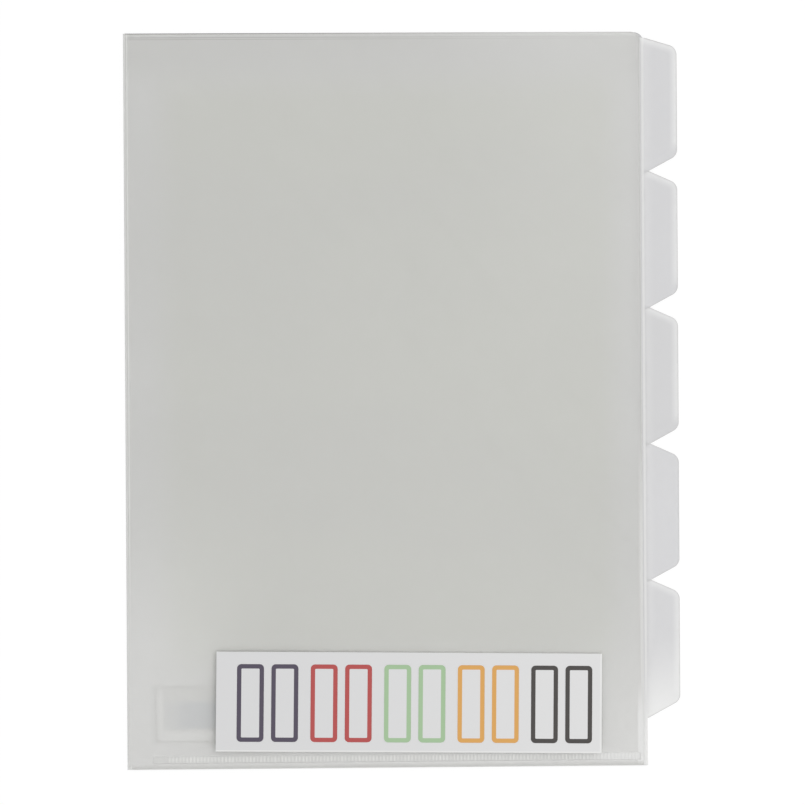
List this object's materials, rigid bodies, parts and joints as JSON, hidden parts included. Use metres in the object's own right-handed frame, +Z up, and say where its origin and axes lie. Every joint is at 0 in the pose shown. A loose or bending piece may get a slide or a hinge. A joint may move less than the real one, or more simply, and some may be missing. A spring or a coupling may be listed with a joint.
{
  "type": "document folder",
  "caption": "Flat frosted plastic document folder with stepped index tabs, nested folded sheets that make side-loading pockets, a ribbed bottom weld and a loose card of peel-off labels.",
  "frame": {"origin": "on the table under the middle of the whole outline, tabs included", "axes": "+X across the page towards the index tabs, +Y up the page towards the open top edge, +Z up through the layers from the back leaf to the cover"},
  "size_m": [0.2336, 0.31, 0.004],
  "materials": {
    "frosted_sheet": "frosted, slightly glossy clear sheet",
    "welded_sheet": "melted and pressed clear sheet",
    "label_paper": "smooth white",
    "backing_paper": "smooth silicone paper",
    "sticker_paper": "smooth white"
  },
  "bodies": {
    "folder": {"back_leaf": "frosted_sheet", "outer_fold": "frosted_sheet", "front_cover": "frosted_sheet", "middle_fold": "frosted_sheet", "leaf_4": "frosted_sheet", "leaf_1": "frosted_sheet", "inner_fold": "frosted_sheet", "leaf_3": "frosted_sheet", "leaf_2": "frosted_sheet", "bottom_weld": "welded_sheet", "sticker": "sticker_paper"},
    "leaf_4_flap": {"leaf_4_corner": "frosted_sheet", "leaf_3_bend_1": "frosted_sheet", "leaf_2_bend_1": "frosted_sheet", "leaf_1_bend_1": "frosted_sheet", "cover_bend_1": "frosted_sheet"},
    "leaf_3_flap": {"leaf_3_corner": "frosted_sheet", "leaf_2_bend_2": "frosted_sheet", "leaf_1_bend_2": "frosted_sheet", "cover_bend_2": "frosted_sheet"},
    "leaf_2_flap": {"leaf_2_corner": "frosted_sheet", "leaf_1_bend_3": "frosted_sheet", "cover_bend_3": "frosted_sheet"},
    "leaf_1_flap": {"leaf_1_corner": "frosted_sheet", "cover_bend_4": "frosted_sheet"},
    "cover_flap": {"cover_corner": "frosted_sheet"},
    "label_card": {"label_backing": "backing_paper", "label_surround": "label_paper", "label_navy_left": "label_paper", "label_navy_right": "label_paper", "label_red_left": "label_paper", "label_red_right": "label_paper", "label_green_left": "label_paper", "label_green_right": "label_paper", "label_orange_left": "label_paper", "label_orange_right": "label_paper", "label_black_left": "label_paper", "label_black_right": "label_paper"}
  },
  "joints": [
    {"name": "pocket_5_opens", "type": "hinge", "parent": "folder", "child": "leaf_4_flap", "pos_m": [-0.1088, 0.155, 0.0017], "axis": [0.6112, -0.7915, 0], "range_deg": [0, 13], "stiffness_Nm_per_rad": 0.075},
    {"name": "pocket_4_opens", "type": "hinge", "parent": "leaf_4_flap", "child": "leaf_3_flap", "pos_m": [-0.09297, 0.16722, 0.0017], "axis": [0.6112, -0.7915, 0], "range_deg": [0, 15], "stiffness_Nm_per_rad": 0.06},
    {"name": "pocket_3_opens", "type": "hinge", "parent": "leaf_3_flap", "child": "leaf_2_flap", "pos_m": [-0.07714, 0.17945, 0.0017], "axis": [0.6112, -0.7915, 0], "range_deg": [0, 17], "stiffness_Nm_per_rad": 0.045},
    {"name": "pocket_2_opens", "type": "hinge", "parent": "leaf_2_flap", "child": "leaf_1_flap", "pos_m": [-0.06131, 0.19167, 0.0017], "axis": [0.6112, -0.7915, 0], "range_deg": [0, 20], "stiffness_Nm_per_rad": 0.03},
    {"name": "pocket_1_opens", "type": "hinge", "parent": "leaf_1_flap", "child": "cover_flap", "pos_m": [-0.04548, 0.2039, 0.0017], "axis": [0.6112, -0.7915, 0], "range_deg": [0, 25], "stiffness_Nm_per_rad": 0.015},
    {"name": "label_card_lifts", "type": "slide", "parent": "folder", "child": "label_card", "axis": [0, 0, 1], "range_m": [0, 0.03]}
  ]
}
